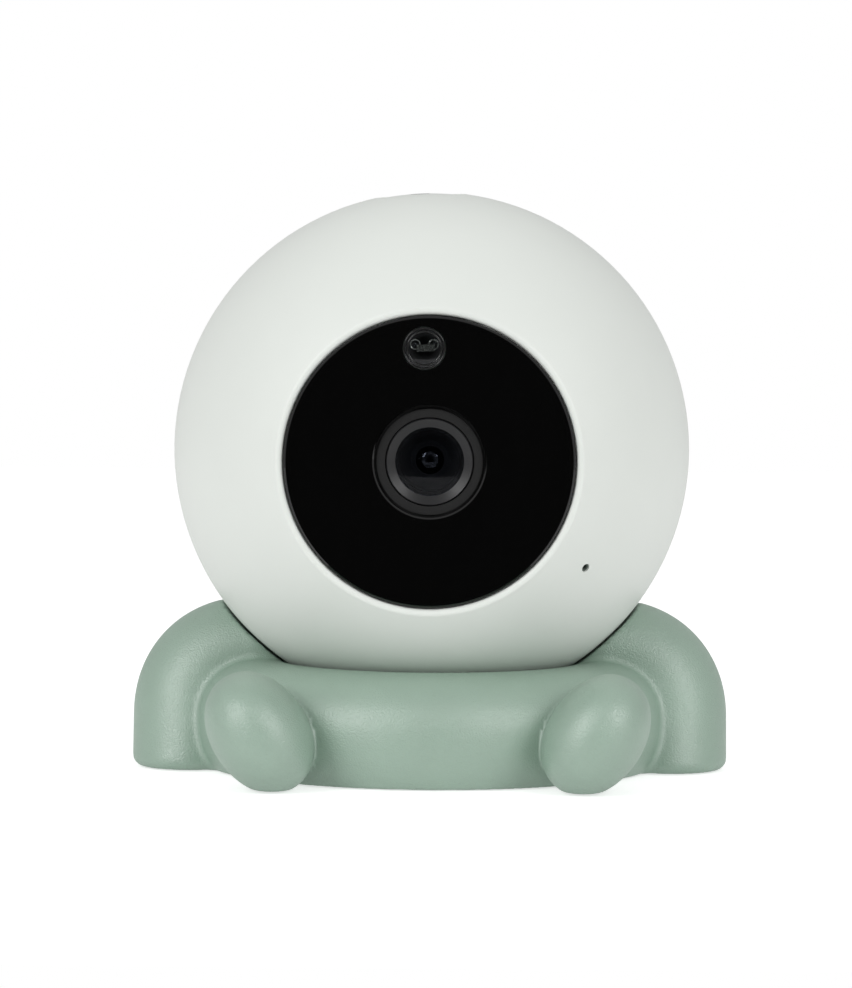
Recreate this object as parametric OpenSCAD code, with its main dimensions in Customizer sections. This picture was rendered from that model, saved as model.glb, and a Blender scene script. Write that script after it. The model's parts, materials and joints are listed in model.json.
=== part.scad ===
// Baby monitor camera: a ball camera that lies loose in a cradle shaped like a seated toy bear.
// Frame: +Z up, front towards -Y, origin on the resting plane under the ball's centre.
// Pieces of the ball are placed by f, the distance forward of the ball's centre along the lens axis.

/* [Ball] */
// Outside diameter of the ball
ball_d = 84; // [82:1:86]
// Wall thickness of the ball's two shells
shell_wall = 2.2; // [2:0.1:2.4]
// Height of the ball's centre over the resting plane
ball_z = 52; // [51.5:0.5:53]
// Lean of the ball towards its right-hand side as it lies in the cradle, in degrees
ball_roll = 3; // [0:1:6]
// How far the joint between the two shells lies behind the ball's centre
seam_back = 10; // [9:0.5:11]
// Width of the groove that shows where the shells meet
seam_gap = 0.15; // [0.1:0.05:0.3]

/* [Front window] */
// Radius of the black front window
window_r = 23.1; // [22.9:0.1:23.3]
// Thickness of the front window
window_t = 1.6; // [1.4:0.1:1.8]
// Distance of the window's face forward of the ball's centre
window_f = 34.6; // [34.4:0.1:34.7]
// Radius of the rounded lip round the window
lip_r = 0.8; // [0.6:0.1:1]
// Radius of the hole in the window for the lens
lens_hole_r = 8.8; // [8.7:0.1:9]
// Height of the night lamp over the lens axis
lamp_up = 18; // [17.8:0.1:18.1]
// Radius of the night lamp's clear cap
lamp_r = 3.35; // [3.2:0.05:3.4]

/* [Top dish and button] */
// Radius of the shallow dish in the top of the ball
dish_r = 7.4; // [7:0.1:8]
// Depth of the dish, which follows the curve of the ball
dish_depth = 0.25; // [0.2:0.05:0.35]
// Radius of the pairing button
button_r = 1.7; // [1.5:0.1:1.8]
// Travel of the pairing button
button_travel = 0.6; // [0.4:0.1:0.6]

/* [Cradle] */
// Radius of the ring's centre line
ring_r = 28.2; // [27.8:0.1:28.4]
// Radius of the ring's tube
ring_tube = 10.5; // [10.2:0.1:10.6]
// Height of the ring's centre line
ring_z = 7.8; // [7.6:0.1:8]
// Wall thickness of the cradle
cradle_wall = 2.5; // [2.2:0.1:2.6]
// Gap between the ball and the hollow that it lies in
ball_gap = 0.5; // [0.4:0.05:0.6]
// Radius of an arm's tube
arm_tube = 9.3; // [9:0.1:9.5]
// Radius of the bend at an arm's shoulder, on its centre line
arm_bend = 10; // [9.8:0.1:10.3]
// Distance of an arm's shoulder bend from the middle
arm_x = 29.2; // [29:0.1:29.5]
// Backward lean of the arms, in degrees
arm_lean = 15; // [12:1:16]
// Half the length of the oval sole of a foot
foot_long = 10.3; // [10.1:0.1:10.5]
// Half the width of the oval sole of a foot
foot_wide = 7.6; // [7.4:0.1:7.8]
// Outward lean of the feet, in degrees
foot_lean = 34; // [32:1:36]

/* [Hidden] */
$fn = 96;
eps = 0.01;
fit = 0.05;                             // running and locating clearance, per side

ball_r = ball_d / 2;
inner_r = ball_r - shell_wall;
seam_tongue = 1.8;                      // depth of the lap where the shells meet
seam_mid_r = ball_r - shell_wall / 2;

bore_r = window_r + 0.12;
window_back = window_f - window_t;
tape_t = 0.2;
ledge_f = window_back - tape_t;
ledge_t = 1.6;
ledge_r = lamp_up + lamp_r + 0.75;
lip_rho = bore_r + lip_r;
lip_f = sqrt(pow(ball_r - lip_r, 2) - pow(lip_rho, 2));
lip_angle = atan(lip_rho / lip_f);

// lens, from the front: ring, front glass, stop, inner glass, barrel, holder, filter, sensor
shroud_r = 8.4;
lens_head_r = 6.9;
lens_thread_r = 6;
lens_glass_r = 5.4;
lens_front = window_f - 0.7;
head_front = lens_front - 1;
head_back = head_front - 5.9;
barrel_back = 16;
stop_front = head_front - 1.9;
stop_back = head_back + 0.6;
inner_glass_r = 2.25;
board_f = 11;
board_t = 1.2;
sensor_board_half = 14;
sensor_hole = 12;
holder_back = board_f + board_t;
holder_step = 17;
holder_front = 25;
filter_t = 0.4;

lamp_hole_r = lamp_r + 0.1;
lamp_shroud_r = lamp_r + 0.45;
lamp_board_f = window_back - 3.6;
lamp_board_t = 1;

// microphone, by its direction from the ball's centre
mic_polar = 115.7;
mic_turn = -50.8;
mic_port_r = 0.72;                      // hole in the shell, which the boot's nozzle fills
mic_bore_r = 0.42;
mic_r = 2;
boot_r = 3;
boot_out = inner_r - 0.2;

dish_z = ball_r - dish_depth;
button_top = dish_z - 0.03;
button_flange_z = inner_r - 1.2;
switch_top = button_flange_z - 0.5 - button_travel - 0.1;
switch_z = switch_top - 1.4;
button_board_t = 1;
button_post_x = 4.6;

frame_t = 1.6;
frame_r = 29;
post_ring = 25;                         // distance of the shell screws from the lens axis
post_r = 3.2;
post_deep = 14;
screw_r = 1.2;
screw_head_r = 2.4;
screw_head_t = 1.8;
head_seat = 16;                         // where the shell screws' heads bear, behind the centre
main_f = -8;
main_t = 1.6;
main_half_x = 17;
main_half_z = 15;
main_hole_x = 14;
main_hole_z = 12;
small_screw_r = 0.95;
small_head_r = 1.9;
small_head_t = 1.2;

speaker_z = 7;
speaker_r = 13;
speaker_front = 25;
speaker_back = 30.5;
gasket_t = 0.8;
grille_step = 2.9;
grille_hole_r = 0.85;
inlet_z = -16;
inlet_w = 8.9;
inlet_h = 3.2;
inlet_front = 30;
inlet_back = 37.6;
reset_x = 9;

pad_t = 0.9;
shell_floor = 0.15;
plate_r = 32.8;
plate_t = 1.8;
plate_top = pad_t + plate_t;
lobe_r = 4.8;
arm_side_x = arm_x + arm_bend;
arm_shoulder_z = 8.5;
arm_post = 14;                          // length of an arm's post before the floor cuts it
arm_foot_y = -arm_shoulder_z * tan(arm_lean);
foot_x = 26.6;
foot_y = -36.5;
sole_cut = 0.5;                         // what the floor takes off the bottom of a foot
foot_z = shell_floor - sole_cut
    + sqrt(pow(foot_long * cos(foot_lean), 2) + pow(foot_wide * sin(foot_lean), 2));
foot_depth = 10.5;
ankle_r = 4.8;
boss_ring = 28;
boss_r = 3;
weight_z = plate_top + 0.2;
weight_t = 3.5;
seat_cup_r = 16.8;
seat_pin_r = 3;
seat_floor = plate_top + 1.5;
seat_r = 15.3;
seat_base = seat_floor + 0.3;
seat_pad_ring = 13.2;
seat_pad_r = 1.6;
pad_clear = 0.1;                        // between the seat pads and the ball that slides on them

cradle_green = [0.55, 0.66, 0.60];
shell_white = [0.85, 0.87, 0.85];

// ---------- placing ----------

module in_ball() {
    translate([0, 0, ball_z]) rotate([0, -ball_roll, 0]) children();
}

// A cylinder along the lens axis, from f0 to f1 forward of the centre.
module disc(f0, f1, r) {
    translate([0, -f1, 0]) rotate([-90, 0, 0]) cylinder(h = f1 - f0, r = r);
}

module tube(f0, f1, r_out, r_in) {
    difference() {
        disc(f0, f1, r_out);
        disc(f0 - 1, f1 + 1, r_in);
    }
}

// A profile of (distance from the lens axis, f), turned about the lens axis.
module about_lens() {
    rotate([90, 0, 0]) rotate_extrude() children();
}

// A box from f0 to f1, centred on x and z.
module block(f0, f1, w, h) {
    translate([-w / 2, -f1, -h / 2]) cube([w, f1 - f0, h]);
}

module mirrored() {
    children();
    mirror([1, 0, 0]) children();
}

module at_corners(x, z) {
    for (i = [-1, 1], k = [-1, 1]) translate([i * x, 0, k * z]) children();
}

module at_shell_screws() {
    for (a = [30, 150, 270]) rotate([0, -a, 0]) translate([post_ring, 0, 0]) children();
}

module at_lamp() {
    translate([0, 0, lamp_up]) children();
}

module at_mic() {
    rotate([0, mic_polar, mic_turn]) children();
}

// ---------- ball shells ----------

module wall_profile(r_out, r_in, f0, f1) {
    intersection() {
        difference() {
            circle(r_out);
            circle(r_in);
        }
        translate([0, f0]) square([ball_r + 1, f1 - f0]);
    }
}

module front_profile() {
    far = 2 * ball_r;
    difference() {
        union() {
            intersection() {
                wall_profile(ball_r, inner_r, -seam_back, ball_r);
                polygon([[0, -far], [far, -far], [far, far / tan(lip_angle)], [0, 0]]);
            }
            wall_profile(seam_mid_r - fit, inner_r, -seam_back - seam_tongue, -seam_back + 1);
            translate([lip_rho, lip_f]) circle(lip_r);
            translate([ledge_r, ledge_f - ledge_t]) square([lip_rho - ledge_r, ledge_t]);
            translate([bore_r, ledge_f - ledge_t]) square([lip_r, lip_f - ledge_f + ledge_t]);
        }
        translate([0, ledge_f]) square([bore_r, ball_r]);
    }
}

module shell_post() {
    disc(0, post_deep, post_r);
    translate([0, -post_deep, -1]) cube([inner_r - post_ring + 0.6, post_deep, 2]);
}

module front_shell() {
    color(shell_white) in_ball() difference() {
        union() {
            about_lens() front_profile();
            intersection() {
                sphere(inner_r + 0.6);
                at_shell_screws() shell_post();
            }
            intersection() {
                sphere(inner_r + 0.6);
                for (i = [-1, 1]) translate([i * button_post_x, 0, switch_z])
                    cylinder(h = 8, r = 1.2);
            }
        }
        difference() {
            translate([0, 0, ball_r - 2]) cylinder(h = 3, r = dish_r);
            sphere(dish_z, $fn = 200);
        }
        translate([0, 0, inner_r - 2]) cylinder(h = 6, r = button_r + 0.15);
        at_mic() cylinder(h = ball_r + 1, r = mic_port_r);
        at_shell_screws() disc(-1, post_deep - 4, screw_r + fit);
    }
}

module rear_profile() {
    wall_profile(ball_r, inner_r, -ball_r, -seam_back - seam_tongue - seam_gap);
    wall_profile(ball_r, seam_mid_r, -seam_back - seam_tongue - seam_gap - 1, -seam_back - seam_gap);
}

module rear_boss() {
    disc(-ball_r, -frame_t, post_r + 0.4);
}

module grille_holes() {
    translate([0, 0, speaker_z]) {
        disc(-ball_r - 1, -inner_r + 8, grille_hole_r);
        for (ring = [1:3], i = [0:6 * ring - 1]) rotate([0, 60 / ring * i, 0])
            translate([ring * grille_step, 0, 0]) disc(-ball_r - 1, -inner_r + 8, grille_hole_r);
    }
}

module inlet_slot(grow) {
    w = inlet_w + 2 * grow;
    h = inlet_h + 2 * grow;
    for (i = [-1, 1]) translate([i * (w - h) / 2, 0, inlet_z]) disc(-ball_r - 1, -inlet_front, h / 2);
    translate([0, 0, inlet_z]) block(-ball_r - 1, -inlet_front, w - h, h);
}

module rear_shell() {
    seat = speaker_back + gasket_t;
    color(shell_white) in_ball() difference() {
        union() {
            about_lens() rear_profile();
            intersection() {
                sphere(inner_r + 0.6);
                union() {
                    at_shell_screws() rear_boss();
                    translate([0, 0, speaker_z]) tube(-ball_r, -seat, speaker_r, speaker_r - 2);
                    for (i = [-1, 1]) translate([i * 6, 0, inlet_z - 5.4])
                        disc(-ball_r, -inlet_front - 3, 1.4);
                }
            }
        }
        at_shell_screws() disc(-ball_r - 1, -head_seat, screw_head_r + 0.3);
        at_shell_screws() disc(-ball_r, 0, screw_r + fit);
        grille_holes();
        inlet_slot(0.35);
        translate([reset_x, 0, inlet_z]) disc(-ball_r - 1, -inner_r + 10, 0.6);
    }
}

module machine_screw(f_head, reach, r, head_r, head_t) {
    difference() {
        disc(f_head - head_t, f_head, head_r);
        disc(f_head - head_t - 1, f_head - head_t + 0.8, head_r * 0.42, $fn = 6);
    }
    disc(f_head - eps, reach, r);
}

module shell_screws() {
    color("silver") in_ball() at_shell_screws()
        machine_screw(-head_seat, post_deep - 5, screw_r, screw_head_r, screw_head_t);
}

// ---------- front window ----------

module front_window() {
    edge = 0.35;
    lens_edge = 0.25;
    color([0.03, 0.03, 0.03]) in_ball() difference() {
        about_lens() polygon([
            [lens_hole_r, window_back], [window_r, window_back], [window_r, window_f - edge],
            [window_r - edge, window_f], [lens_hole_r + lens_edge, window_f],
            [lens_hole_r, window_f - lens_edge]
        ]);
        at_lamp() disc(window_back - 1, window_f + 1, lamp_hole_r);
    }
}

module window_tape() {
    color("dimgray") in_ball() tube(ledge_f, window_back, window_r - 0.1, ledge_r);
}

// ---------- lens ----------

module lens_shroud() {
    color([0.15, 0.15, 0.15]) in_ball() {
        tube(window_back - 3.5, window_f - 1, shroud_r, lens_head_r + 0.15);
        tube(window_back - 1.6, window_back, shroud_r + 3.1, shroud_r - 0.1);
    }
}

module lens_front_ring() {
    color([0.3, 0.3, 0.31]) in_ball() about_lens() polygon([
        [lens_glass_r + fit, head_front], [lens_head_r, head_front],
        [lens_head_r, lens_front - 0.15], [lens_head_r - 0.15, lens_front],
        [lens_glass_r + fit, head_front + 0.2]
    ]);
}

module lens_front_glass() {
    cap_r = 13.25;
    color([0.1, 0.11, 0.13]) in_ball() intersection() {
        disc(head_front - 1, lens_front + 1, lens_glass_r);
        translate([0, cap_r - lens_front, 0]) sphere(cap_r);
    }
}

module lens_stop() {
    color([0.05, 0.05, 0.05]) in_ball() about_lens() polygon([
        [1.3, stop_back], [4.85, stop_back], [4.85, stop_front], [4.6, stop_front],
        [3.1, stop_front - 1.8], [inner_glass_r + fit, stop_front - 1.8],
        [inner_glass_r + fit, stop_front - 2.6], [1.3, stop_front - 2.8]
    ]);
}

module lens_inner_glass() {
    cap_r = 3.4;
    top = stop_front - 1.7;
    color([0.12, 0.12, 0.16]) in_ball() intersection() {
        disc(stop_front - 2.6, top + 1, inner_glass_r);
        translate([0, cap_r - top, 0]) sphere(cap_r);
    }
}

module lens_rear_glass() {
    cap_r = 9;
    middle = 21.5;
    color([0.12, 0.14, 0.16]) in_ball() intersection() {
        disc(middle - 3, middle + 3, 4.5);
        translate([0, -middle + cap_r - 2.2, 0]) sphere(cap_r);
        translate([0, -middle - cap_r + 2.2, 0]) sphere(cap_r);
    }
}

module lens_barrel() {
    color([0.08, 0.08, 0.08]) in_ball() difference() {
        union() {
            disc(head_back, head_front, lens_head_r);
            disc(barrel_back, head_back + eps, lens_thread_r);
        }
        disc(barrel_back - 1, head_front + 1, 4.55);
        disc(stop_back, head_front + 1, 4.9);
        disc(head_front - 1, head_front + 1, lens_glass_r + fit);
    }
}

module lens_holder() {
    color([0.12, 0.12, 0.12]) in_ball() difference() {
        union() {
            block(holder_back, holder_step, 19, 19);
            disc(holder_step - eps, holder_front, 8.2);
        }
        block(holder_back - 1, holder_back + 2.8, 14, 14);
        disc(holder_back, holder_front + 1, lens_thread_r + fit);
    }
}

module infrared_filter() {
    top = holder_back + 2.8;
    color([0.6, 0.3, 0.35]) in_ball() block(top - filter_t, top, 13, 13);
}

module image_sensor() {
    color([0.2, 0.25, 0.3]) in_ball() block(holder_back, holder_back + 1.1, 8.5, 7);
}

module sensor_board() {
    side = 2 * sensor_board_half;
    color([0.05, 0.3, 0.15]) in_ball() difference() {
        block(board_f, holder_back, side, side);
        at_corners(sensor_hole, sensor_hole) disc(board_f - 1, holder_back + 1, small_screw_r + 0.1);
    }
}

module sensor_screws() {
    color("silver") in_ball() at_corners(sensor_hole, sensor_hole) mirror([0, 1, 0])
        machine_screw(-holder_back, -board_f + 6, small_screw_r, small_head_r, small_head_t);
}

// ---------- night lamp and light sensor ----------

module lamp_cap() {
    cap_r = 12;
    top = window_f + 0.45;
    color([0.75, 0.78, 0.8]) in_ball() at_lamp() intersection() {
        disc(window_back - 0.55, top + 1, lamp_r);
        translate([0, cap_r - top, 0]) sphere(cap_r);
    }
}

module lamp_shroud() {
    color([0.1, 0.1, 0.1]) in_ball() at_lamp() difference() {
        disc(lamp_board_f + lamp_board_t, window_back, lamp_shroud_r);
        disc(lamp_board_f, window_back - 0.6, lamp_r - 0.1);
        disc(window_back - 0.6 - eps, window_back + 1, lamp_r + fit);
    }
}

module lamp_board() {
    color([0.05, 0.3, 0.15]) in_ball() at_lamp()
        disc(lamp_board_f, lamp_board_f + lamp_board_t, lamp_shroud_r);
}

module infrared_lamps() {
    seat = lamp_board_f + lamp_board_t;
    color([0.8, 0.8, 0.85]) in_ball() at_lamp() for (i = [-1, 1]) translate([i * 1.55, 0, 0.5]) {
        disc(seat, seat + 0.5, 0.75);
        intersection() {
            disc(seat + 0.5 - eps, seat + 1.5, 0.65);
            translate([0, -seat - 0.5, 0]) sphere(0.65);
        }
    }
}

// The light sensor is a bar on a short post, which stands between the two infrared lamps.
module light_sensor() {
    seat = lamp_board_f + lamp_board_t;
    bar = seat + 1.45;
    color([0.75, 0.72, 0.65]) in_ball() at_lamp() translate([0.2, 0, -0.05]) {
        block(seat, bar + eps, 0.8, 0.9);
        difference() {
            block(bar, bar + 0.5, 2.9, 1.1);
            block(bar + 0.2, bar + 1, 0.45, 0.8);
        }
    }
}

// ---------- microphone ----------

module microphone_boot() {
    color([0.1, 0.1, 0.1]) in_ball() at_mic() difference() {
        union() {
            translate([0, 0, boot_out - 3.4]) cylinder(h = 3.4, r = boot_r);
            translate([0, 0, boot_out - 1]) cylinder(h = ball_r - boot_out + 0.75, r = mic_port_r - fit);
        }
        translate([0, 0, boot_out - 4]) cylinder(h = 3, r = mic_r + fit);
        cylinder(h = ball_r + 1, r = mic_bore_r);
    }
}

module microphone() {
    color("silver") in_ball() at_mic() translate([0, 0, boot_out - 3.2]) cylinder(h = 2.1, r = mic_r);
}

// ---------- frame and boards ----------

module inner_frame() {
    color([0.75, 0.75, 0.72]) in_ball() difference() {
        union() {
            disc(-frame_t, 0, frame_r);
            at_corners(sensor_hole, sensor_hole) disc(-frame_t, board_f, 2.2);
            at_corners(main_hole_x, main_hole_z) disc(main_f, 0, 2.4);
        }
        at_shell_screws() disc(-frame_t - 1, 1, screw_r + 0.15);
        at_corners(sensor_hole, sensor_hole) disc(board_f - 7, board_f + 1, small_screw_r + fit);
        at_corners(main_hole_x, main_hole_z) disc(main_f - 1, main_f + 6, small_screw_r + fit);
        translate([0, 0, -main_half_z]) block(-frame_t - 1, 1, 10, 3.6);
        disc(-frame_t - 1, 1, 7);
    }
}

module main_board() {
    color([0.05, 0.3, 0.15]) in_ball() difference() {
        block(main_f - main_t, main_f, 2 * main_half_x, 2 * main_half_z);
        at_corners(main_hole_x, main_hole_z)
            disc(main_f - main_t - 1, main_f + 1, small_screw_r + 0.1);
    }
}

module board_screws() {
    color("silver") in_ball() at_corners(main_hole_x, main_hole_z)
        machine_screw(main_f - main_t, main_f + 5, small_screw_r, small_head_r, small_head_t);
}

module shield_can() {
    back = main_f - main_t;
    color("silver") in_ball() translate([-4, 0, 3]) difference() {
        block(back - 2.4, back, 18, 15);
        block(back - 2.1, back + 1, 17.4, 14.4);
    }
}

module board_sockets() {
    back = main_f - main_t;
    color("ivory") in_ball() {
        translate([0, 0, -main_half_z + 1]) block(main_f, main_f + 1.6, 9, 2);
        translate([0, 0, -11.5]) block(board_f - 1.5, board_f, 9, 3);
        translate([12, 0, 3]) block(back - 3, back, 4, 8);
    }
}

module flex_cable() {
    t = 0.3;
    drop = main_half_z;
    color([0.85, 0.55, 0.15]) in_ball() {
        translate([-4, -(board_f - 1.5), -drop]) cube([8, t, drop - 10.2]);
        translate([-4, -(board_f - 1.5), -drop]) cube([8, board_f - 1.5 - (main_f + 1.6), t]);
    }
}

module antenna() {
    color([0.1, 0.2, 0.15]) in_ball()
        translate([-10, -main_f + 0.4, main_half_z]) cube([20, 0.8, 7]);
}

// ---------- speaker ----------

module speaker() {
    color([0.15, 0.15, 0.15]) in_ball() translate([0, 0, speaker_z]) {
        disc(-speaker_front, -speaker_front + 3, 8);
        difference() {
            disc(-speaker_back, -speaker_front + eps, speaker_r);
            about_lens() polygon([
                [0, -speaker_back - 1], [speaker_r - 2, -speaker_back - 1],
                [speaker_r - 2, -speaker_back + 0.6], [4, -speaker_back + 3], [0, -speaker_back + 2.4]
            ]);
        }
    }
}

module speaker_gasket() {
    color([0.2, 0.2, 0.2]) in_ball() translate([0, 0, speaker_z])
        tube(-speaker_back - gasket_t, -speaker_back, speaker_r, speaker_r - 2);
}

// ---------- power inlet ----------

module power_inlet() {
    skin = 0.35;
    h = inlet_h;
    in_h = h - 2 * skin;
    color("silver") in_ball() translate([0, 0, inlet_z]) difference() {
        union() {
            for (i = [-1, 1]) translate([i * (inlet_w - h) / 2, 0, 0])
                disc(-inlet_back, -inlet_front, h / 2);
            block(-inlet_back, -inlet_front, inlet_w - h, h);
        }
        difference() {
            union() {
                for (i = [-1, 1]) translate([i * (inlet_w - h) / 2, 0, 0])
                    disc(-inlet_back - 1, -inlet_front - 1, in_h / 2);
                block(-inlet_back - 1, -inlet_front - 1, inlet_w - h, in_h);
            }
            block(-inlet_back + 0.5, -inlet_front, 6.7, 0.7);
        }
    }
}

module inlet_board() {
    top = inlet_z - inlet_h / 2;
    color([0.05, 0.3, 0.15]) in_ball() difference() {
        translate([-8.5, inlet_front - 6, top - 1.2]) cube([17, 9, 1.2]);
        for (i = [-1, 1]) translate([i * 7, inlet_front - 4, top - 2]) cylinder(h = 3, r = 0.8);
    }
}

// ---------- pairing button ----------

module button_board() {
    color([0.05, 0.3, 0.15]) in_ball() translate([-6, -5, switch_z - button_board_t])
        cube([12, 10, button_board_t]);
}

module button_switch() {
    color([0.2, 0.2, 0.2]) in_ball() {
        translate([-2, -2, switch_z]) cube([4, 4, 1]);
        translate([0, 0, switch_z + 1 - eps]) cylinder(h = 0.4 + eps, r = 1);
    }
}

module pairing_button() {
    color([0.15, 0.16, 0.16]) in_ball() translate([0, 0, button_flange_z]) rotate_extrude() polygon([
        [0, -0.5], [1, -0.5], [1, 0], [button_r + 1, 0], [button_r + 1, 0.6], [button_r, 0.6],
        [button_r, button_top - button_flange_z - 0.2],
        [button_r - 0.2, button_top - button_flange_z], [0, button_top - button_flange_z]
    ]);
}

// ---------- cradle ----------

// An arm of tube radius r: a post that leans back and bends inwards at the shoulder.
module arm(r) {
    translate([0, 0, arm_shoulder_z]) rotate([-arm_lean, 0, 0]) {
        translate([arm_side_x, 0, -arm_post]) cylinder(h = arm_post, r = r);
        translate([arm_x, 0, 0]) rotate([90, 0, 0]) rotate_extrude(angle = 90)
            translate([arm_bend, 0]) circle(r);
        translate([arm_x, 0, arm_bend]) sphere(r);
    }
}

// A foot: an oval ball whose long axis leans outwards, joined to the ring.
module foot() {
    translate([foot_x, foot_y, foot_z]) rotate([0, foot_lean, 0])
        scale([foot_wide, foot_depth, foot_long]) sphere(1);
}

module ankle() {
    translate([foot_x, foot_y, foot_z]) rotate([-90, 0, 20]) cylinder(h = 14, r = ankle_r);
}

module ring(r) {
    rotate_extrude() translate([ring_r, ring_z]) circle(r);
}

module plate_outline(grow) {
    lobe = lobe_r + grow;
    circle(plate_r + grow);
    for (i = [-1, 1]) {
        translate([i * arm_side_x, arm_foot_y]) circle(lobe);
        translate([i * arm_side_x / 2, arm_foot_y]) square([arm_side_x, 2 * lobe], center = true);
    }
}

module at_bosses() {
    for (a = [45:90:315]) rotate([0, 0, a]) translate([boss_ring, 0, 0]) children();
}

module cradle_shell() {
    color(cradle_green) difference() {
        union() {
            difference() {
                union() {
                    ring(ring_tube);
                    mirrored() arm(arm_tube);
                    mirrored() foot();
                    mirrored() ankle();
                }
                difference() {
                    union() {
                        ring(ring_tube - cradle_wall);
                        intersection() {
                            mirrored() arm(arm_tube - cradle_wall);
                            translate([-80, -80, plate_top + 1.2]) cube([160, 160, 80]);
                        }
                    }
                    translate([0, 0, ball_z]) sphere(ball_r + ball_gap + cradle_wall);
                }
            }
            intersection() {
                ring(ring_tube - 1);
                at_bosses() cylinder(h = 20, r = boss_r);
            }
        }
        translate([0, 0, ball_z]) sphere(ball_r + ball_gap);
        translate([0, 0, -1]) linear_extrude(plate_top + 1 + fit) plate_outline(0.15);
        translate([-80, -80, -20]) cube([160, 160, 20 + shell_floor]);
        at_bosses() cylinder(h = 11, r = screw_r + fit);
    }
}

module base_plate() {
    color([0.45, 0.55, 0.5]) difference() {
        translate([0, 0, pad_t]) linear_extrude(plate_t) plate_outline(0);
        at_bosses() cylinder(h = 10, r = screw_r + 0.15);
        at_bosses() translate([0, 0, pad_t - eps]) cylinder(h = 1, r = screw_head_r + 0.2);
    }
}

module base_screws() {
    head = 0.95;
    color("silver") at_bosses() difference() {
        union() {
            translate([0, 0, pad_t]) cylinder(h = head, r = screw_head_r);
            translate([0, 0, pad_t + head - eps]) cylinder(h = 8, r = screw_r);
        }
        translate([0, 0, pad_t - 1]) cylinder(h = 1.5, r = 1, $fn = 6);
    }
}

module grip_pads() {
    color([0.3, 0.33, 0.31]) {
        cylinder(h = pad_t, r = 9);
        for (a = [0:90:270]) rotate([0, 0, a]) translate([26, 0, 0]) cylinder(h = pad_t, r = 4.5);
        for (i = [-1, 1]) translate([i * arm_side_x, arm_foot_y, 0]) cylinder(h = pad_t, r = 3.6);
    }
}

module base_weight() {
    color([0.5, 0.5, 0.52]) difference() {
        translate([0, 0, weight_z]) cylinder(h = weight_t, r = 33);
        translate([0, 0, weight_z - 1]) cylinder(h = weight_t + 2, r = 23);
        at_bosses() cylinder(h = 20, r = boss_r + 0.2);
    }
}

module seat_cup() {
    color([0.35, 0.42, 0.38]) {
        translate([0, 0, plate_top]) cylinder(h = seat_floor - plate_top, r = seat_cup_r);
        translate([0, 0, seat_floor - eps]) cylinder(h = 4.5, r = seat_pin_r);
        translate([0, 0, seat_floor - eps]) difference() {
            cylinder(h = 3, r = seat_cup_r);
            translate([0, 0, -1]) cylinder(h = 5, r = seat_cup_r - 1.1);
        }
    }
}

// ---------- turning seat ----------

module at_seat_pads() {
    for (a = [90, 210, 330]) rotate([0, 0, a]) translate([seat_pad_ring, 0, 0]) children();
}

module seat_ring() {
    color([0.2, 0.22, 0.21]) difference() {
        union() {
            translate([0, 0, seat_base]) cylinder(h = 1.6, r = seat_r);
            translate([0, 0, seat_base]) cylinder(h = 3.8, r = seat_pin_r + 2.5);
            translate([0, 0, seat_base]) difference() {
                cylinder(h = 12, r = seat_r);
                translate([0, 0, -1]) cylinder(h = 14, r = seat_pad_ring - 2.2);
            }
        }
        translate([0, 0, ball_z]) sphere(ball_r + 0.6);
        cylinder(h = 20, r = seat_pin_r + fit);
        at_seat_pads() translate([0, 0, seat_base + 3]) cylinder(h = 10, r = seat_pad_r);
    }
}

module seat_pads() {
    color("white") difference() {
        at_seat_pads() translate([0, 0, seat_base + 3]) cylinder(h = 8, r = seat_pad_r);
        translate([0, 0, ball_z]) sphere(ball_r + pad_clear);
    }
}

cradle_shell();
base_plate();
base_screws();
grip_pads();
base_weight();
seat_cup();
seat_ring();
seat_pads();
front_shell();
rear_shell();
shell_screws();
front_window();
window_tape();
lens_shroud();
lens_front_ring();
lens_front_glass();
lens_stop();
lens_inner_glass();
lens_rear_glass();
lens_barrel();
lens_holder();
infrared_filter();
image_sensor();
sensor_board();
sensor_screws();
lamp_cap();
lamp_shroud();
lamp_board();
infrared_lamps();
light_sensor();
microphone();
microphone_boot();
inner_frame();
main_board();
board_screws();
shield_can();
board_sockets();
flex_cable();
antenna();
speaker();
speaker_gasket();
power_inlet();
inlet_board();
button_board();
button_switch();
pairing_button();
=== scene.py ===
# %% [markdown]
# # A ball camera in a soft green cradle
# The object is a white ball with a black window, lying loose in a cradle that is shaped like a small
# seated toy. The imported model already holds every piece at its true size, so this lesson loads it
# first and then gives each piece its finish. Shapes that need a softer skin are made here as meshes.

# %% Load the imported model
import json
from math import cos, radians, sin
import bmesh
import bpy
import numpy as np
from mathutils import Matrix, Vector


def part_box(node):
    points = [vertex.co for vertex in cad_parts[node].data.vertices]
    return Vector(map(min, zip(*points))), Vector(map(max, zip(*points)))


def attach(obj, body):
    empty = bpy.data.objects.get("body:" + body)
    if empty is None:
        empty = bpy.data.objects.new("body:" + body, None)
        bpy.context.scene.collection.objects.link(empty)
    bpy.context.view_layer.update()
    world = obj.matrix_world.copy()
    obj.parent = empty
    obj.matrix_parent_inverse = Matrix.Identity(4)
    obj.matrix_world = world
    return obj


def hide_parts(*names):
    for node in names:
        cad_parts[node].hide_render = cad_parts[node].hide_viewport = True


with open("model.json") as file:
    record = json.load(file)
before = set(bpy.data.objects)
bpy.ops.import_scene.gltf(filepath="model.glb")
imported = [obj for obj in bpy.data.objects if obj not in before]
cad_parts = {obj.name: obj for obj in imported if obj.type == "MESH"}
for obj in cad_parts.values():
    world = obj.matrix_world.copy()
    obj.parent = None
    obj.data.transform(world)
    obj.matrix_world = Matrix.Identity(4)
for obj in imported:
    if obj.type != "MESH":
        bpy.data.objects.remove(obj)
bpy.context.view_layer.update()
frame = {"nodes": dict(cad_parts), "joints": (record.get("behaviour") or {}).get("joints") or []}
nodes = frame["nodes"]
joints = {joint["name"]: joint for joint in frame["joints"]}
MM = 0.001
print("pieces in the packed model:", len(nodes))

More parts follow.
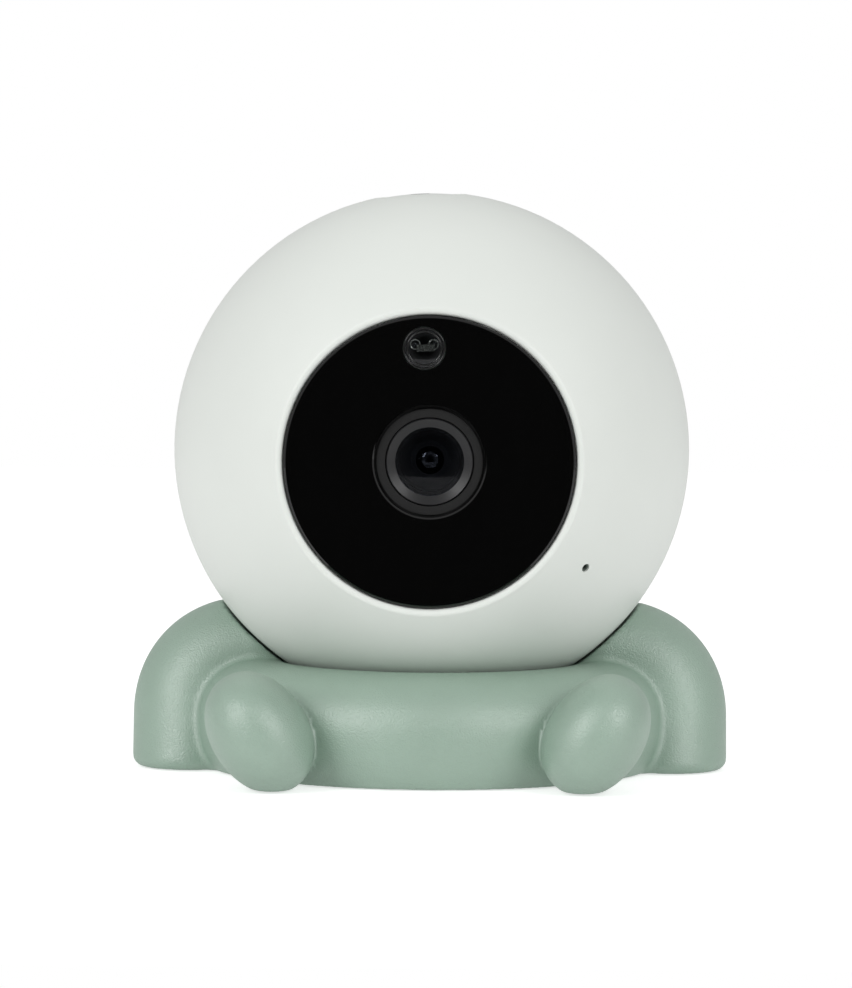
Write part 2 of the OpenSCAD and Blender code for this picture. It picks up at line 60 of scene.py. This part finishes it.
# %% [markdown]
# Two measures are needed again and again: where the middle of the ball is and how large the ball is.
# The tilting joint passes through the ball's middle, and half the width of its front shell is its
# radius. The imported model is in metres, but small parts are easier to think of in millimetres.

# %% The ball's middle and radius
BALL_CENTRE = Vector(joints["ball_tilt"]["pos_m"])


def half_width(name):
    """Half of a node's width along X, in millimetres."""
    low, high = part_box(name)
    return (high[0] - low[0]) / 2 / MM


ball_r = half_width("front_shell")
print("ball radius in mm:", round(ball_r, 2), " centre height in mm:", round(BALL_CENTRE.z / MM, 2))

# %% [markdown]
# The camera looks at the front of the object from about a metre away with a long lens, a little above
# the ball's centre and a touch to its side. A long lens keeps the ball round and the arms upright.
# The camera is turned slightly down so that the object sits above the middle of the picture.

# %% Camera
VIEW_DISTANCE = 1.0
VIEW_UP = radians(3.4)
VIEW_SIDE = radians(0.55)
AIM_DOWN = radians(0.4186)
AIM_LEFT = radians(0.051)
VIEW_ROLL = radians(0.4)
FOCAL_MM = 223.1

eye = bpy.data.cameras.new("eye")
eye.sensor_fit = "VERTICAL"
eye.sensor_height = 36
eye.lens = FOCAL_MM
eye.clip_start = 0.05
camera = bpy.data.objects.new("eye", eye)
bpy.context.scene.collection.objects.link(camera)
towards = Vector((sin(VIEW_SIDE) * cos(VIEW_UP), -cos(VIEW_SIDE) * cos(VIEW_UP), sin(VIEW_UP)))
look = towards.to_track_quat("Z", "Y").to_matrix().to_4x4()
turn = Matrix.Rotation(AIM_LEFT, 4, "Y") @ Matrix.Rotation(-AIM_DOWN, 4, "X")
camera.matrix_world = (
    Matrix.Translation(BALL_CENTRE + towards * VIEW_DISTANCE)
    @ look @ turn @ Matrix.Rotation(VIEW_ROLL, 4, "Z")
)
bpy.context.scene.camera = camera
bpy.context.scene.view_settings.view_transform = "Standard"
print("camera at", [round(v, 3) for v in camera.matrix_world.translation])

# %% [markdown]
# Two large soft boxes stand in front, left and right, above the object, as in a product studio. A
# third one above the back lifts the top of the ball. They are area lights that face the ball, and all
# of them hang at the same distance from it.

# %% Soft boxes
BOX_DISTANCE = 0.9


def soft_box(name, side, up, size, power):
    """A square area light that faces the ball from an angle to the side and an angle above."""
    light = bpy.data.lights.new(name, "AREA")
    light.shape = "RECTANGLE"
    light.size, light.size_y = size
    light.energy = power
    lamp = bpy.data.objects.new(name, light)
    bpy.context.scene.collection.objects.link(lamp)
    way = Vector((sin(side) * cos(up), -cos(side) * cos(up), sin(up)))
    aim = way.to_track_quat("Z", "Y").to_matrix().to_4x4()
    lamp.matrix_world = Matrix.Translation(BALL_CENTRE + way * BOX_DISTANCE) @ aim


soft_box("soft_box_left", radians(-40), radians(25), (0.32, 0.38), 2.9)
soft_box("soft_box_right", radians(40), radians(25), (0.32, 0.38), 2.3)
soft_box("soft_box_top", radians(180), radians(70), (0.7, 0.5), 0.3)

# %% [markdown]
# Shader maths is easier to read as Python. A Value holds one output of a node: adding or multiplying
# it adds the matching Math node, also with a plain number on the left. Nodes is a tree under
# construction, and its one method adds any other node: settings first, then sockets, which take
# either a constant or another Value.

# %% A small language for node trees


class Value:
    """One number, colour, vector or shader that runs through a node tree."""

    def __init__(self, nodes, socket):
        self.nodes = nodes
        self.socket = socket

    def maths(self, operation, other):
        return self.nodes.add("ShaderNodeMath", {"operation": operation}, {0: self, 1: other})

    def __add__(self, other):
        return self.maths("ADD", other)

    def __mul__(self, other):
        return self.maths("MULTIPLY", other)

    __radd__ = __add__
    __rmul__ = __mul__


class Nodes:
    """A node tree that is built up one node at a time."""

    def __init__(self, tree):
        self.tree = tree

    def add(self, kind, settings, sockets, output=0):
        node = self.tree.nodes.new(kind)
        for name, setting in settings.items():
            setattr(node, name, setting)
        for name, value in sockets.items():
            self.join(value, node.inputs[name])
        return Value(self, node.outputs[output])

    def join(self, value, socket):
        if isinstance(value, Value):
            self.tree.links.new(value.socket, socket)
        else:
            socket.default_value = value

    def remap(self, value, low, high, to_low, to_high):
        """A value taken from one range to another and kept inside it."""
        sockets = {"Value": value, 1: low, 2: high, 3: to_low, 4: to_high}
        return self.add("ShaderNodeMapRange", {}, sockets)


# %% [markdown]
# A Finish is a material around one Principled shader. It adds three things that every surface here
# needs: cloudy noise at a size in millimetres, a mix of two colours, and bumps of a known depth.
# Screens show colours on a curved scale from 0 to 255, and shaders work with a straight one.

# %% A material under construction


class Finish(Nodes):
    """A material that is built up node by node around one Principled shader."""

    def __init__(self, name, **constants):
        self.material = bpy.data.materials.new(name)
        self.material.use_nodes = True
        super().__init__(self.material.node_tree)
        self.shader = self.tree.nodes["Principled BSDF"]
        for socket, value in constants.items():
            self.shader.inputs[socket.replace("_", " ")].default_value = value
        self.place = self.add("ShaderNodeTexCoord", {}, {}, "Object")

    def noise(self, size, detail=2.0, rough=0.5):
        """Cloudy values from 0 to 1 whose patches are about size millimetres across."""
        sockets = {"Vector": self.place, "Scale": 1 / (size * MM), "Detail": detail, "Roughness": rough}
        return self.add("ShaderNodeTexNoise", {}, sockets)

    def blend(self, share, first, second):
        """A colour between two, by a share from 0 to 1."""
        settings = {"data_type": "RGBA"}
        return self.add("ShaderNodeMix", settings, {0: share, 6: first, 7: second}, 2)

    def bump(self, height, depth, strength=1.0):
        """Dents and bumps of depth millimetres, which light sees and the outline doesn't."""
        sockets = {"Height": height, "Distance": depth * MM, "Strength": strength}
        self.feed(Normal=self.add("ShaderNodeBump", {}, sockets))

    def feed(self, **sockets):
        for name, value in sockets.items():
            self.join(value, self.shader.inputs[name.replace("_", " ")])


def colour(red, green, blue):
    """A colour as a screen shows it, from 0 to 255, turned into the linear values of a shader."""
    def linear(step):
        step = step / 255
        return step / 12.92 if step <= 0.04045 else ((step + 0.055) / 1.055) ** 2.4
    return (linear(red), linear(green), linear(blue), 1.0)


def shade(base, factor):
    """The same colour, darker or lighter by a factor."""
    return tuple(min(1.0, part * factor) for part in base[:3]) + (1.0,)


# %% [markdown]
# The cradle is coated with a soft-touch paint over moulded plastic. Soft-touch paint is matt with a
# wide, dull sheen, and its surface has a very fine sandy grain. Two small noises, of a quarter and of
# half a millimetre, give that grain as tiny dimples. A third one, of nearly a centimetre, lets the
# colour drift a little, as sprayed paint does.

# %% Soft-touch green paint


def soft_touch(name, tint):
    finish = Finish(name, IOR=1.6, Specular_IOR_Level=1.0)
    drift = finish.noise(9.0, 3.0)
    grain = finish.noise(0.26, 1.5, 0.6)
    dust = finish.noise(0.6, 1.0)
    tone = finish.remap(0.7 * drift + 0.3 * grain, 0.3, 0.7, 0.0, 1.0)
    finish.feed(Base_Color=finish.blend(tone, shade(tint, 0.95), shade(tint, 1.04)))
    finish.feed(Roughness=finish.remap(grain, 0.3, 0.7, 0.34, 0.44))
    finish.bump(0.85 * grain + 0.15 * dust, 0.13, 0.9)
    return finish.material


# %% [markdown]
# Most other pieces are injection-moulded plastic. Such plastic takes over the fine spark-eroded skin
# of its mould, so each one gets a small even grain in its bump, a faint cloudiness in its colour and
# a roughness that wanders a little. One function makes them all, with its own numbers for each.

# %% Moulded plastic


def moulded(name, tint, rough, grain_mm=0.25, depth_mm=0.01, drift=0.03, **constants):
    finish = Finish(name, **constants)
    cloud = finish.noise(6.0, 2.0)
    grain = finish.noise(grain_mm, 2.0)
    finish.feed(Base_Color=finish.blend(cloud, shade(tint, 1 - drift), shade(tint, 1 + drift)))
    finish.feed(Roughness=finish.remap(0.6 * grain + 0.4 * cloud, 0.3, 0.7, rough - 0.04, rough + 0.04))
    finish.bump(grain, depth_mm, 0.5)
    return finish.material


# %% [markdown]
# Metal pieces are stamped or turned. Their colour comes from the reflection alone, so the metallic
# value is one, and the fine marks of rolling are a noise that is stretched along one direction.

# %% Rolled and turned metal


def metal(name, tint, rough, streak_mm=0.12):
    finish = Finish(name, Metallic=1.0)
    stretch = finish.add("ShaderNodeMapping", {}, {"Vector": finish.place, "Scale": (1.0, 0.06, 1.0)})
    sockets = {"Vector": stretch, "Scale": 1 / (streak_mm * MM), "Detail": 3.0}
    streaks = finish.add("ShaderNodeTexNoise", {}, sockets)
    cloud = finish.noise(4.0)
    finish.feed(Base_Color=finish.blend(cloud, shade(tint, 0.88), tint))
    finish.feed(Roughness=finish.remap(streaks, 0.3, 0.7, rough - 0.08, rough + 0.1))
    finish.bump(streaks, 0.006, 0.4)
    return finish.material


# %% [markdown]
# A circuit board is glass cloth under a green solder mask. Copper lines under the mask stand a hair
# proud and look a little lighter. A brick pattern gives straight lines of even width, which is what
# copper tracks look like from a small distance, and a noise breaks them up.

# %% Circuit board


def solder_mask(name, tint):
    finish = Finish(name, Coat_Weight=0.3, Coat_Roughness=0.15)
    settings = {"offset": 0.5, "squash": 1.0}
    sockets = {"Vector": finish.place, "Scale": 120.0, "Mortar Size": 0.012, "Brick Width": 0.31,
               "Row Height": 0.14}
    tracks = finish.add("ShaderNodeTexBrick", settings, sockets, 1)
    weave = finish.noise(0.5)
    finish.feed(Base_Color=finish.blend(tracks, tint, shade(tint, 1.9)))
    finish.feed(Roughness=finish.remap(weave, 0.3, 0.7, 0.28, 0.42))
    finish.bump(0.7 * tracks + 0.3 * weave, 0.02, 0.5)
    return finish.material


# %% [markdown]
# The window is black acrylic, polished to a mirror. Its colour is nearly nothing, so what it shows is
# what it reflects. Real acrylic carries faint wiping marks, so its roughness wanders between almost
# none and a few hundredths.

# %% Polished black window


def polished(name, tint):
    finish = Finish(name, IOR=1.49)
    wipe = finish.add("ShaderNodeMapping", {}, {"Vector": finish.place, "Scale": (1.0, 1.0, 0.25)})
    sockets = {"Vector": wipe, "Scale": 1 / (2.5 * MM), "Detail": 4.0}
    marks = finish.add("ShaderNodeTexNoise", {}, sockets)
    finish.feed(Base_Color=finish.blend(marks, tint, shade(tint, 1.3)))
    finish.feed(Roughness=finish.remap(marks, 0.35, 0.75, 0.02, 0.07))
    return finish.material


# %% [markdown]
# A thin lens or clear cap does two things: most light goes straight through and is tinted a little,
# and a small share is mirrored, more of it at the rim where the surface turns away. Mixing a
# Transparent shader with a mirror by the Fresnel share does just that, and it also lets the soft
# boxes light what lies behind. Coated glass mirrors much less than plain plastic, which is its shine.
# The front lens is nearly flat, so part of its curve is taken out of the direction that it mirrors in.

# %% Coated glass and clear plastic


def clear(name, tint, ior=1.5, shine=1.0, flat=0.0):
    finish = Finish(name, Metallic=1.0)
    if flat:
        turn = {"vector_type": "NORMAL", "convert_from": "OBJECT", "convert_to": "WORLD"}
        ahead = finish.add("ShaderNodeVectorTransform", turn, {"Vector": (0.0, -1.0, 0.0)})
        curved = finish.add("ShaderNodeNewGeometry", {}, {}, "Normal")
        settings = {"data_type": "VECTOR"}
        flattened = finish.add("ShaderNodeMix", settings, {0: flat, 4: curved, 5: ahead}, 1)
        finish.feed(Normal=finish.add("ShaderNodeVectorMath", {"operation": "NORMALIZE"}, {0: flattened}))
    film = finish.noise(1.5, 3.0)
    finish.feed(Base_Color=finish.blend(film, (0.9, 0.92, 1.0, 1.0), (1.0, 1.0, 1.0, 1.0)))
    finish.feed(Roughness=finish.remap(film, 0.3, 0.7, 0.02, 0.05))
    through = finish.add("ShaderNodeBsdfTransparent", {}, {"Color": tint})
    mirrored = finish.add("ShaderNodeFresnel", {}, {"IOR": ior}) * shine
    mirror = Value(finish, finish.shader.outputs[0])
    surface = finish.add("ShaderNodeMixShader", {}, {0: mirrored, 1: through, 2: mirror})
    finish.join(surface, finish.tree.nodes["Material Output"].inputs["Surface"])
    return finish.material


# %% [markdown]
# One material is made for each finish that the record names. The dictionary keeps them by that name,
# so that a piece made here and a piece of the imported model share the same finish.

# %% One material for each finish
finishes = {
    "soft_green": soft_touch("soft_green", colour(142, 166, 150)),
    "green_plastic": moulded("green_plastic", colour(120, 146, 130), 0.55, 0.4, 0.03),
    "steel": metal("steel", colour(200, 202, 205), 0.3),
    "grip_rubber": moulded("grip_rubber", colour(86, 96, 89), 0.75, 0.3, 0.05),
    "weight_steel": metal("weight_steel", colour(165, 167, 170), 0.42),
    "seat_plastic": moulded("seat_plastic", colour(56, 62, 59), 0.5),
    "slide_plastic": moulded("slide_plastic", colour(236, 236, 232), 0.35),
    "shell_plastic": moulded("shell_plastic", colour(226, 230, 225), 0.42, 0.3, 0.004, 0.008),
    "black_gloss": polished("black_gloss", colour(5, 5, 5)),
    "tape": moulded("tape", colour(60, 60, 62), 0.8, 0.5, 0.03),
    "black_matte": moulded("black_matte", colour(3, 3, 3), 0.78, 0.2, 0.015),
    "grey_ring": moulded("grey_ring", colour(18, 18, 20), 0.36, 0.15, 0.006),
    "lens_glass": clear("lens_glass", colour(212, 215, 220), ior=1.52, shine=0.3, flat=0.5),
    "filter_glass": clear("filter_glass", colour(216, 120, 130)),
    "sensor_die": moulded("sensor_die", colour(60, 72, 88), 0.2, 0.2, 0.004),
    "circuit_board": solder_mask("circuit_board", colour(22, 92, 54)),
    "clear_cap": clear("clear_cap", colour(240, 243, 244), ior=1.49, shine=0.8),
    "lamp_body": clear("lamp_body", colour(190, 194, 200), ior=1.55, shine=3.0),
    "bright_metal": metal("bright_metal", colour(226, 224, 216), 0.22),
    "frame_plastic": moulded("frame_plastic", colour(196, 197, 193), 0.5),
    "socket_plastic": moulded("socket_plastic", colour(228, 222, 206), 0.45),
    "flex_amber": moulded("flex_amber", colour(205, 134, 44), 0.35),
    "speaker_black": moulded("speaker_black", colour(48, 48, 50), 0.6, 0.4, 0.03),
    "button_dark": moulded("button_dark", colour(58, 62, 60), 0.5),
}
for node in nodes.values():
    for slot in node.material_slots:
        slot.material = finishes[slot.material.name.split(".")[0]]
finishes["inner_glass"] = clear("inner_glass", colour(124, 126, 132), ior=1.6)
nodes["lens_inner_glass"].material_slots[0].material = finishes["inner_glass"]
print("finishes:", len(finishes))

# %% [markdown]
# The cradle is one soft blown shape: a thick ring for the legs, two arms that rise and bend inwards,
# and two oval feet. It could be sculpted by hand, but then the arms would not match the ball. Here
# it is described by distances: a function tells for every point how far it is from the surface,
# joints between limbs are softened by mixing two distances, and a mesh is then drawn through zero.

# %% Distances for the limbs of the cradle
cradle_low, cradle_high = (np.array(corner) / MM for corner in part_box("cradle_shell"))
RING_R, RING_TUBE, RING_Z = 28.2, 10.5, 7.5
RING_SQUARE = 2.2
ARM_TUBE, ARM_BEND, ARM_X, ARM_Z = 9.3, 10.0, 29.2, 8.5
ARM_SQUARE = 2.1
ARM_LEAN = radians(15)
FOOT_HALF = (7.6, 10.5, 10.3)
FOOT_LEAN = radians(34)
FOOT_SQUARE, SOLE_FLAT = 2.07, 2.3
FOOT_X = 26.6
SOLE_CUT = 0.6                          # what the floor takes off the bottom of a foot
foot_y = cradle_low[1] + FOOT_HALF[1]
floor_z = cradle_low[2]
support = FOOT_SQUARE / (FOOT_SQUARE - 1)
reach_down = (FOOT_HALF[2] * cos(FOOT_LEAN)) ** support + (FOOT_HALF[0] * sin(FOOT_LEAN)) ** support
foot_z = floor_z - SOLE_CUT + reach_down ** (1 / support)
ANKLE_R, ANKLE_LONG = 4.8, 14.0
ANKLE_TURN = radians(22)


def ring_distance(x, y, z, thinner=0.0):
    """A ring whose section is a circle that is slightly squared, with a broad top."""
    out = np.abs(np.hypot(x, y) - RING_R)
    up = np.abs(z - RING_Z)
    return (out ** RING_SQUARE + up ** RING_SQUARE) ** (1 / RING_SQUARE) - RING_TUBE + thinner


def arm_distance(x, y, z, thinner=0.0):
    """A post that leans back and bends inwards at the shoulder, ending in a round tip."""
    up = z - ARM_Z
    back = y * cos(ARM_LEAN) - up * sin(ARM_LEAN)
    up = y * sin(ARM_LEAN) + up * cos(ARM_LEAN)
    out = np.abs(x) - ARM_X
    tip = np.sqrt(out ** 2 + back ** 2 + (up - ARM_BEND) ** 2)
    turn = (np.abs(out) ** ARM_SQUARE + np.abs(up) ** ARM_SQUARE) ** (1 / ARM_SQUARE)
    bend = np.hypot(turn - ARM_BEND, back)
    post = np.hypot(out - ARM_BEND, back)
    middle = np.where(up < 0, post, np.where(out > 0, bend, tip))
    return np.minimum(middle, tip) - ARM_TUBE + thinner


def foot_distance(x, y, z):
    """An oval foot with a flattened sole, leaning outwards."""
    out, up = np.abs(x) - FOOT_X, z - foot_z
    side = (out * cos(FOOT_LEAN) - up * sin(FOOT_LEAN)) / FOOT_HALF[0]
    tall = (out * sin(FOOT_LEAN) + up * cos(FOOT_LEAN)) / FOOT_HALF[2]
    deep = np.abs(y - foot_y) / FOOT_HALF[1]
    outline = (np.abs(side) ** FOOT_SQUARE + np.abs(tall) ** FOOT_SQUARE) ** (SOLE_FLAT / FOOT_SQUARE)
    return ((outline + deep ** SOLE_FLAT) ** (1 / SOLE_FLAT) - 1) * FOOT_HALF[0]


def ankle_distance(x, y, z):
    """A short round limb from the middle of a foot back into the ring."""
    out, back, up = np.abs(x) - FOOT_X, y - foot_y, z - foot_z
    along = np.clip(back * cos(ANKLE_TURN) - out * sin(ANKLE_TURN), 0, ANKLE_LONG)
    return np.sqrt((out + along * sin(ANKLE_TURN)) ** 2 + (back - along * cos(ANKLE_TURN)) ** 2
                   + up ** 2) - ANKLE_R


print("foot centre in mm:", FOOT_X, round(foot_y, 2), round(foot_z, 2))

# %% [markdown]
# Two distances can be joined in ways that ordinary booleans can't: a soft union fills the corner
# between two limbs with a fillet, and a rounded cut takes a corner off with a true radius. The cradle
# is hollow as the real moulding is, and open at the bottom where its plate closes it.

# %% The cradle as one distance
HOLLOW_R = ball_r + 0.35
WALL = 2.5
ANKLE_FILLET, FOOT_FILLET, ARM_FILLET = 1.0, 0.7, 1.3
FLOOR_EDGE, ARM_FLOOR_EDGE, HOLLOW_EDGE = 0.4, 1.8, 0.3
PLATE_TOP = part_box("base_plate")[1][2] / MM
PLATE_R = -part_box("base_plate")[0][1] / MM
LOBE_R = 4.8
PLATE_GAP, PLATE_LAP, ROOM_OVER_PLATE = 0.15, 0.05, 1.2


def soft_union(first, second, fillet):
    share = np.clip(0.5 + 0.5 * (second - first) / fillet, 0, 1)
    return second + (first - second) * share - fillet * share * (1 - share)


def rounded_cut(first, second, radius):
    """The part inside both, with the edge between them rounded."""
    a, b = first + radius, second + radius
    return np.minimum(np.maximum(a, b), 0) + np.hypot(np.maximum(a, 0), np.maximum(b, 0)) - radius


def cradle_distance(x, y, z):
    above = floor_z - z
    from_ball = np.sqrt(x ** 2 + y ** 2 + (z - BALL_CENTRE.z / MM) ** 2)
    arms = rounded_cut(arm_distance(x, y, z), above, ARM_FLOOR_EDGE)
    feet = soft_union(foot_distance(x, y, z), ankle_distance(x, y, z), ANKLE_FILLET)
    body = rounded_cut(soft_union(ring_distance(x, y, z), feet, FOOT_FILLET), above, FLOOR_EDGE)
    body = soft_union(body, arms, ARM_FILLET)
    body = rounded_cut(body, HOLLOW_R - from_ball, HOLLOW_EDGE)
    arm_room = np.maximum(arm_distance(x, y, z, WALL), PLATE_TOP + ROOM_OVER_PLATE - z)
    room = np.minimum(ring_distance(x, y, z, WALL), arm_room)
    room = np.maximum(room, HOLLOW_R + WALL - from_ball)
    past_arm = np.maximum(np.abs(x) - ARM_X - ARM_BEND, 0)
    lobes = np.hypot(past_arm, y + ARM_Z * np.tan(ARM_LEAN)) - LOBE_R
    plate = np.minimum(np.hypot(x, y) - PLATE_R, lobes) - PLATE_GAP
    plate = np.maximum(plate, z - PLATE_TOP - PLATE_LAP)
    return np.maximum(body, -np.minimum(room, plate))


# %% [markdown]
# To draw a mesh through zero, the distance is sampled on a fine grid. Every small cube of the grid
# that the surface passes through gets one point, and every grid edge that it crosses gets one square
# between the four cubes around it. This is called a surface net.

# %% A surface net


def surface_net(field):
    """Points, in steps of the grid, and squares of the surface where field changes sign."""
    inside = field < 0
    cells = tuple(size - 1 for size in field.shape)
    corners = [(i, j, k) for i in (0, 1) for j in (0, 1) for k in (0, 1)]
    count = sum(inside[i:i + cells[0], j:j + cells[1], k:k + cells[2]].astype(int) for i, j, k in corners)
    crossed = np.argwhere((count > 0) & (count < 8))
    index = np.full(cells, -1)
    index[tuple(crossed.T)] = np.arange(len(crossed))
    total, hits = np.zeros((len(crossed), 3)), np.zeros(len(crossed))
    squares = []
    for axis in range(3):
        step = np.eye(3, dtype=int)[axis]
        for corner in (c for c in corners if c[axis] == 0):
            start = crossed + np.array(corner)
            first, second = field[tuple(start.T)], field[tuple((start + step).T)]
            cut = (first < 0) != (second < 0)
            along = np.zeros(len(crossed))
            along[cut] = first[cut] / (first[cut] - second[cut])
            total[cut] += (start + along[:, None] * step)[cut]
            hits[cut] += 1
        edges = np.argwhere(np.diff(inside, axis=axis))
        u, v = (np.eye(3, dtype=int)[(axis + turn) % 3] for turn in (1, 2))
        ring = np.stack([index[tuple((edges - gap).T)] for gap in (0 * u, u, u + v, v)], axis=1)
        leaving = inside[tuple(edges.T)]
        ring[~leaving] = ring[~leaving][:, ::-1]
        squares.append(ring)
    return total / hits[:, None], np.concatenate(squares)


# %% [markdown]
# The net's points are only near the surface. They are slid along the slope of the distance until they
# lie on it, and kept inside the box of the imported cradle. The slope there then becomes the normal, so
# that the shading is as smooth as the shape.

# %% From the net to a mesh
SLIDES = 4
GENTLEST = 0.3                          # keeps a slide short where the slope is nearly flat


def slope(distance, points, reach=0.02):
    """The direction in which a distance grows, at each point."""
    parts = []
    for axis in range(3):
        shift = np.zeros(3)
        shift[axis] = reach
        parts.append(distance(*(points + shift).T) - distance(*(points - shift).T))
    return np.stack(parts, axis=1) / (2 * reach)


def skin_mesh(name, distance, low, high, step):
    """A mesh in metres of the surface of distance, inside the box from low to high in millimetres."""
    margin = 2.5 * step
    axes = [np.arange(a - margin, b + margin, step) for a, b in zip(low, high)]
    points, squares = surface_net(distance(*np.meshgrid(*axes, indexing="ij")))
    points = low - margin + points * step
    for _ in range(SLIDES):
        rise = slope(distance, points)
        gap = distance(*points.T)
        steep = np.maximum((rise ** 2).sum(axis=1), GENTLEST)
        points -= np.clip(gap / steep, -step / 2, step / 2)[:, None] * rise
    points = np.clip(points, low, high)
    rise = slope(distance, points)
    mesh = bpy.data.meshes.new(name)
    mesh.from_pydata((points * MM).tolist(), [], squares.tolist())
    mesh.polygons.foreach_set("use_smooth", [True] * len(mesh.polygons))
    mesh.normals_split_custom_set_from_vertices((rise / np.linalg.norm(rise, axis=1)[:, None]).tolist())
    return mesh


# %% [markdown]
# A new piece has to say three things: which body it rides on, which finish it has and which packed
# piece it stands for. The cradle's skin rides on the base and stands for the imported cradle.

# %% Cradle skin


def add_piece(name, mesh, body, slot, *replaced):
    """Put a new piece in the scene in its finish, riding on a body and standing for CAD nodes."""
    piece = bpy.data.objects.new(name, mesh)
    bpy.context.scene.collection.objects.link(piece)
    mesh.materials.append(finishes[slot])
    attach(piece, body)
    for node in replaced:
        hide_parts(node)
    return piece


SKIN_STEP = 0.66
cradle_skin = add_piece(
    "cradle_skin",
    skin_mesh("cradle_skin", cradle_distance, cradle_low, cradle_high, SKIN_STEP),
    "base", "soft_green", "cradle_shell",
)
print("cradle skin:", len(cradle_skin.data.vertices), "points", len(cradle_skin.data.polygons), "faces")

# %% [markdown]
# A clear cap catches the light along its rounded rim, and so does the round collar of each small lamp
# behind it. Each of these is a thin ring: a circle of small circles, drawn as one closed mesh. The
# cap's two rims sit where its shallow dome has fallen by the share of its height found here.

# %% Rims of the night lamp


def ring_mesh(name, radius, thick, place, around=72, across=12):
    """A ring about the Y axis, with sizes in millimetres, round a place in metres."""
    turns = np.linspace(0, 2 * np.pi, around, endpoint=False)[:, None]
    rolls = np.linspace(0, 2 * np.pi, across, endpoint=False)[None, :]
    out = radius + thick * np.cos(rolls)
    sides, depths, heights = out * np.cos(turns), thick * np.sin(rolls), out * np.sin(turns)
    points = np.stack(np.broadcast_arrays(sides, depths, heights), axis=-1)
    first = np.arange(around * across).reshape(around, across)
    onward = np.roll(first, -1, axis=0)
    corners = [first, np.roll(first, -1, axis=1), np.roll(onward, -1, axis=1), onward]
    squares = np.stack(corners, axis=-1).reshape(-1, 4)
    mesh = bpy.data.meshes.new(name)
    mesh.from_pydata((points.reshape(-1, 3) * MM).tolist(), [], squares.tolist())
    mesh.polygons.foreach_set("use_smooth", [True] * len(mesh.polygons))
    mesh.transform(Matrix.Translation(place))
    return mesh


cap_low, cap_high = (Vector(corner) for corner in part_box("lamp_cap"))
cap_middle = (cap_low + cap_high) / 2
cap_r = half_width("lamp_cap")
cap_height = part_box("front_window")[0][1] - cap_low.y
RIM_THICK = 0.14
for name, share in (("lamp_rim_inner", 0.8), ("lamp_rim_outer", 0.955)):
    place = Vector((cap_middle.x, cap_low.y + cap_height * share ** 2, cap_middle.z))
    add_piece(name, ring_mesh(name, cap_r * share, RIM_THICK, place), "ball", "black_gloss")

COLLAR_R, COLLAR_THICK = 0.76, 0.13
lamps_low, lamps_high = (Vector(corner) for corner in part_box("infrared_lamps"))
lamp_r = (lamps_high.z - lamps_low.z) / 2
for name, x in (("lamp_collar_left", lamps_low.x + lamp_r), ("lamp_collar_right", lamps_high.x - lamp_r)):
    place = Vector((x, lamps_low.y, lamps_low.z + lamp_r))
    add_piece(name, ring_mesh(name, COLLAR_R, COLLAR_THICK, place), "ball", "bright_metal")
print("cap radius in mm:", round(cap_r, 2), " lamp radius in mm:", round(lamp_r / MM, 2))

# %% [markdown]
# The object stands on a pale floor, which glows a little so that it shows as white as the surround.
# To the camera it glows fully, and to everything else by less than half, as if lit from below. The
# floor ends a hand's width in front of the object: its edge draws the line across the lens glass.

# %% Floor
FLOOR_HALF = 0.5
FLOOR_FRONT = 0.23
FLOOR_SQUARES = 24
floor_mesh = bpy.data.meshes.new("studio_floor")
build = bmesh.new()
behind = Matrix.Translation((0, FLOOR_HALF - FLOOR_FRONT, 0))
squares = {"x_segments": FLOOR_SQUARES, "y_segments": FLOOR_SQUARES}
bmesh.ops.create_grid(build, size=FLOOR_HALF, matrix=behind, **squares)
build.to_mesh(floor_mesh)
build.free()
studio_floor = bpy.data.objects.new("studio_floor", floor_mesh)
bpy.context.scene.collection.objects.link(studio_floor)
pale = Finish("pale_floor", Roughness=0.9, Specular_IOR_Level=0.1, Emission_Strength=0.6)
to_camera = pale.add("ShaderNodeLightPath", {}, {}, "Is Camera Ray")
pale.feed(Emission_Color=pale.blend(to_camera, (0.45, 0.45, 0.45, 1.0), (1.0, 1.0, 1.0, 1.0)))
paper = pale.noise(2.0, 3.0)
pale.feed(Base_Color=pale.blend(paper, colour(222, 222, 222), colour(228, 228, 228)))
pale.bump(paper, 0.01, 0.1)
floor_mesh.materials.append(pale.material)
print("floor from y =", -FLOOR_FRONT, "to", 2 * FLOOR_HALF - FLOOR_FRONT)

# %% [markdown]
# What the black window mirrors is the dark part of the studio behind the camera. So the surround is
# dark straight ahead of the object and grows to its full light towards the sides, the back and above.
# The camera itself sees plain white all round.

# %% Surround
AHEAD, ASIDE = -0.97, -0.86
DARK, LIGHT = 0.01, 0.56
world = bpy.data.worlds.new("studio")
world.use_nodes = True
bpy.context.scene.world = world
studio = Nodes(world.node_tree)
way = studio.add("ShaderNodeTexCoord", {}, {}, "Generated")
back = studio.add("ShaderNodeSeparateXYZ", {}, {"Vector": way}, "Y")
to_camera = studio.add("ShaderNodeLightPath", {}, {}, "Is Camera Ray")
strength = studio.remap(back, AHEAD, ASIDE, DARK, LIGHT).maths("MAXIMUM", to_camera)
surround = world.node_tree.nodes["Background"]
studio.join((1.0, 1.0, 1.0, 1.0), surround.inputs["Color"])
studio.join(strength, surround.inputs["Strength"])
print("light of the surround:", DARK, "ahead and", LIGHT, "elsewhere")
